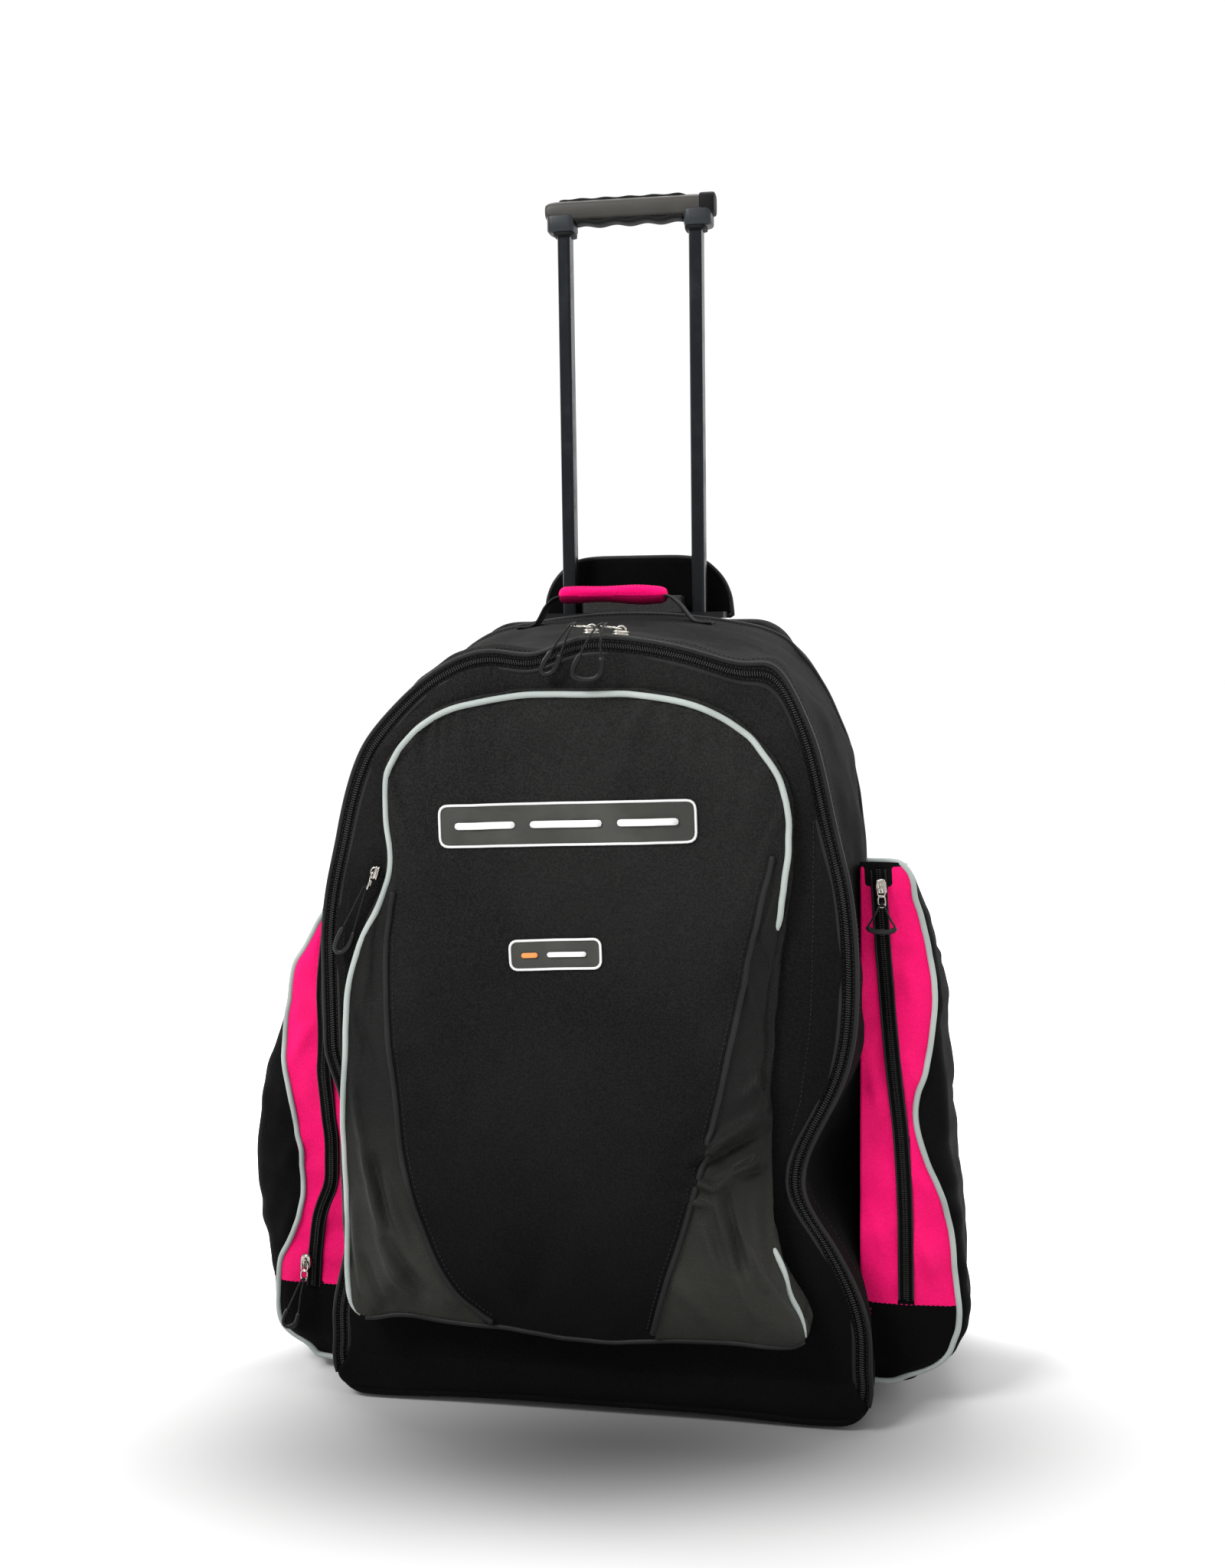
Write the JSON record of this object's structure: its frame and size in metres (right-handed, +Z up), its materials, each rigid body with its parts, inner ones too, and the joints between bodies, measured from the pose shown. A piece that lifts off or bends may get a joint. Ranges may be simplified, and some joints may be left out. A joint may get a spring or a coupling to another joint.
{
  "type": "wheeled skate bag",
  "caption": "Upright soft bag for skates on a wheeled chassis, with a telescoping pull handle, a zipped front door, outer pockets and shoulder straps.",
  "frame": {"origin": "on the floor, under the middle of the bag", "axes": "+X to the bag's right seen from the front, -Y out of its front, +Z up"},
  "size_m": [0.669, 0.44, 1.119],
  "materials": {
    "black_canvas": "fine black polyester canvas, matt",
    "pocket_canvas": "hot pink polyester canvas on the front face, black behind the piping",
    "front_pocket_cloth": "black canvas middle with charcoal satin side panels",
    "webbing": "ribbed black webbing",
    "pink_wrap": "padded hot pink fabric",
    "zip_tape": "black coil zip on woven tape",
    "stiffener": "black polyethylene sheet",
    "moulded_black": "fine textured black moulding",
    "moulded_grey": "textured warm grey moulding",
    "grip_black": "soft black moulding",
    "dark_tube": "blue-black anodised",
    "steel": "plain bright",
    "wheel_rubber": "matt black polyurethane",
    "wheel_hub": "dark grey nylon",
    "nickel": "nickel plated zinc",
    "cord": "black braid with a black moulded end"
  },
  "bodies": {
    "bag": {"axle_bolt_left": "steel", "axle_bolt_right": "steel", "back_cover": "black_canvas", "base_board": "stiffener", "base_chassis": "moulded_black", "body_shell": "black_canvas", "carry_webbing": "webbing", "carry_wrap": "pink_wrap", "frame_sheet": "stiffener", "main_zip_shell_half": "zip_tape", "outer_tube_left": "dark_tube", "outer_tube_right": "dark_tube", "shoulder_strap_left": "black_canvas", "shoulder_strap_right": "black_canvas", "side_pocket_left": "pocket_canvas", "side_pocket_right": "pocket_canvas", "side_zip_left": "zip_tape", "side_zip_right": "zip_tape", "skid_left": "moulded_black", "skid_right": "moulded_black", "strap_buckle_left": "moulded_black", "strap_buckle_right": "moulded_black", "strap_web_left": "webbing", "strap_web_right": "webbing", "tube_bezel": "moulded_grey"},
    "door": {"door_panel": "black_canvas", "front_pocket": "front_pocket_cloth", "main_zip_door_half": "zip_tape"},
    "handle": {"inner_tube_left": "dark_tube", "inner_tube_right": "dark_tube", "grip_shell": "moulded_grey", "grip_pad": "grip_black"},
    "release": {"release_button": "grip_black", "push_rod_left": "steel", "push_rod_right": "steel"},
    "lock_left": {"lock_pin_left": "steel"},
    "lock_right": {"lock_pin_right": "steel"},
    "flap": {"handle_cover_flap": "black_canvas"},
    "wheel_left": {"wheel_tyre_left": "wheel_rubber", "wheel_hub_left": "wheel_hub", "wheel_bearings_left": "steel"},
    "wheel_right": {"wheel_tyre_right": "wheel_rubber", "wheel_hub_right": "wheel_hub", "wheel_bearings_right": "steel"},
    "slider_main_left_body": {"slider_main_left": "nickel"},
    "tab_main_left": {"pull_tab_main_left": "nickel", "cord_pull_main_left": "cord"},
    "slider_main_right_body": {"slider_main_right": "nickel"},
    "tab_main_right": {"pull_tab_main_right": "nickel", "cord_pull_main_right": "cord"},
    "slider_side_left_body": {"slider_side_left": "nickel"},
    "tab_side_left": {"pull_tab_side_left": "nickel", "cord_pull_side_left": "cord"},
    "slider_side_right_body": {"slider_side_right": "nickel"},
    "tab_side_right": {"pull_tab_side_right": "nickel", "cord_pull_side_right": "cord"},
    "slider_front_pocket_body": {"slider_front_pocket": "nickel"},
    "tab_front_pocket": {"pull_tab_front_pocket": "nickel", "cord_pull_front_pocket": "cord"}
  },
  "joints": [
    {"name": "door_open", "type": "hinge", "parent": "bag", "child": "door", "pos_m": [0, -0.1628, 0.024], "axis": [1, 0, 0], "range_deg": [0, 62]},
    {"name": "handle_slide", "type": "slide", "parent": "bag", "child": "handle", "axis": [0, 0, 1], "range_m": [-0.36, 0]},
    {"name": "release_press", "type": "slide", "parent": "handle", "child": "release", "axis": [0, 0, -1], "range_m": [0, 0.004], "stiffness_N_per_m": 600, "springref_m": -0.003},
    {"name": "lock_left_retract", "type": "slide", "parent": "handle", "child": "lock_left", "axis": [1, 0, 0], "range_m": [0, 0.003]},
    {"name": "lock_right_retract", "type": "slide", "parent": "handle", "child": "lock_right", "axis": [-1, 0, 0], "range_m": [0, 0.003]},
    {"name": "wheel_left_spin", "type": "hinge", "parent": "bag", "child": "wheel_left", "pos_m": [-0.165, 0.1665, 0.042], "axis": [1, 0, 0], "continuous": true},
    {"name": "wheel_right_spin", "type": "hinge", "parent": "bag", "child": "wheel_right", "pos_m": [0.165, 0.1665, 0.042], "axis": [1, 0, 0], "continuous": true},
    {"name": "flap_fold", "type": "hinge", "parent": "bag", "child": "flap", "pos_m": [0, 0.1632, 0.701], "axis": [1, 0, 0], "range_deg": [-80, 0]},
    {"name": "main_right_zip", "type": "hinge", "parent": "door", "child": "slider_main_right_body", "pos_m": [0, -0.1555, 0.33], "axis": [0, 1, 0], "range_deg": [0, 13]},
    {"name": "main_left_zip", "type": "hinge", "parent": "door", "child": "slider_main_left_body", "pos_m": [0, -0.1555, 0.33], "axis": [0, 1, 0], "range_deg": [-20.5, 0]},
    {"name": "side_right_zip", "type": "slide", "parent": "bag", "child": "slider_side_right_body", "axis": [0.0612, 0, -0.9981], "range_m": [0, 0.355]},
    {"name": "side_left_zip", "type": "slide", "parent": "bag", "child": "slider_side_left_body", "axis": [0.0612, 0, 0.9981], "range_m": [0, 0.355]},
    {"name": "front_pocket_zip", "type": "slide", "parent": "door", "child": "slider_front_pocket_body", "axis": [-0.45, 0, -0.893], "range_m": [0, 0.06]},
    {"name": "main_right_tab", "type": "hinge", "parent": "slider_main_right_body", "child": "tab_main_right", "pos_m": [0.03662, -0.1555, 0.69436], "axis": [0, 1, 0], "range_deg": [0, 75]},
    {"name": "main_left_tab", "type": "hinge", "parent": "slider_main_left_body", "child": "tab_main_left", "pos_m": [0.01119, -0.1555, 0.69603], "axis": [0, 1, 0], "range_deg": [0, 75]},
    {"name": "side_right_tab", "type": "hinge", "parent": "slider_side_right_body", "child": "tab_side_right", "pos_m": [0.25249, -0.1262, 0.47202], "axis": [-0.9981, 0, -0.0612], "range_deg": [0, 75]},
    {"name": "side_left_tab", "type": "hinge", "parent": "slider_side_left_body", "child": "tab_side_left", "pos_m": [-0.27463, -0.1262, 0.11099], "axis": [-0.9981, 0, 0.0612], "range_deg": [0, 75]},
    {"name": "front_pocket_tab", "type": "hinge", "parent": "slider_front_pocket_body", "child": "tab_front_pocket", "pos_m": [-0.18133, -0.1745, 0.48746], "axis": [0, 1, 0], "range_deg": [0, 75]}
  ],
  "couplings": [
    {"joint": "lock_left_retract", "follows": "release_press", "ratio": 0.75},
    {"joint": "lock_right_retract", "follows": "release_press", "ratio": 0.75}
  ]
}
